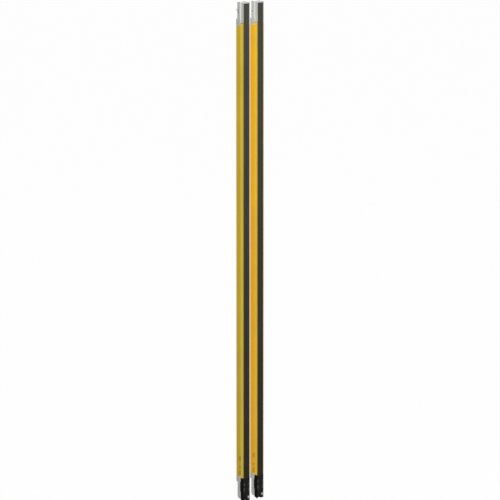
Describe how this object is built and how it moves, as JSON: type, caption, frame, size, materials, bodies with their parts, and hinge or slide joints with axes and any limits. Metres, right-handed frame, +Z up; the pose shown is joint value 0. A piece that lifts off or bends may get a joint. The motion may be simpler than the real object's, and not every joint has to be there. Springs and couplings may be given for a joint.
{
  "type": "safety light curtain",
  "caption": "Pair of slim upright bars, emitter and receiver, with dark front windows, grey end blocks and brackets and black connector modules; guards a danger zone with light beams.",
  "frame": {"origin": "centre of the bounding box's underside, midway between the two bars", "axes": "+Z up along the bars, windows face -Y, emitter on -X and receiver on +X"},
  "size_m": [0.1024, 0.03, 1.5781],
  "materials": {
    "emitter_paint": "satin yellow powder coat",
    "receiver_paint": "satin orange-yellow powder coat",
    "dark_window": "glossy dark infrared filter",
    "cast_end": "light grey painted casting",
    "cast_bracket": "blasted die casting",
    "module_black": "fine moulded texture",
    "black_rubber": "matt",
    "clear_lens": "polished",
    "carrier_plastic": "moulded",
    "board_green": "solder mask",
    "diode_dark": "epoxy",
    "lamp_lens": "smoked lens",
    "contact_plastic": "glass-filled",
    "contact_brass": "gold-plated",
    "screw_steel": "zinc-plated",
    "bright_screw": "nickel-plated"
  },
  "bodies": {
    "root": {"emitter_bottom_bracket": "cast_bracket", "emitter_bottom_foot_screws": "screw_steel", "emitter_cap_screw": "screw_steel", "emitter_circuit_board": "board_green", "emitter_connector_module": "module_black", "emitter_contact_block": "contact_plastic", "emitter_contact_pins": "contact_brass", "emitter_end_block": "cast_end", "emitter_end_block_screws": "screw_steel", "emitter_end_gasket": "black_rubber", "emitter_housing": "emitter_paint", "emitter_indicator_lamps": "lamp_lens", "emitter_lens_strip": "clear_lens", "emitter_light_sources": "diode_dark", "emitter_module_front_screw": "bright_screw", "emitter_module_gasket": "black_rubber", "emitter_module_rear_screws": "screw_steel", "emitter_optics_carrier": "carrier_plastic", "emitter_side_screw": "screw_steel", "emitter_terminal_board": "board_green", "emitter_top_bracket": "cast_bracket", "emitter_top_foot_screws": "screw_steel", "emitter_window": "dark_window", "emitter_window_gasket": "black_rubber", "receiver_bottom_bracket": "cast_bracket", "receiver_bottom_foot_screws": "screw_steel", "receiver_cap_screw": "screw_steel", "receiver_circuit_board": "board_green", "receiver_connector_module": "module_black", "receiver_contact_block": "contact_plastic", "receiver_contact_pins": "contact_brass", "receiver_end_block": "cast_end", "receiver_end_block_screws": "screw_steel", "receiver_end_gasket": "black_rubber", "receiver_housing": "receiver_paint", "receiver_indicator_lamps": "lamp_lens", "receiver_lens_strip": "clear_lens", "receiver_light_sensors": "diode_dark", "receiver_module_front_screw": "bright_screw", "receiver_module_gasket": "black_rubber", "receiver_module_rear_screws": "screw_steel", "receiver_optics_carrier": "carrier_plastic", "receiver_side_screw": "screw_steel", "receiver_terminal_board": "board_green", "receiver_top_bracket": "cast_bracket", "receiver_top_foot_screws": "screw_steel", "receiver_window": "dark_window", "receiver_window_gasket": "black_rubber"}
  },
  "joints": []
}
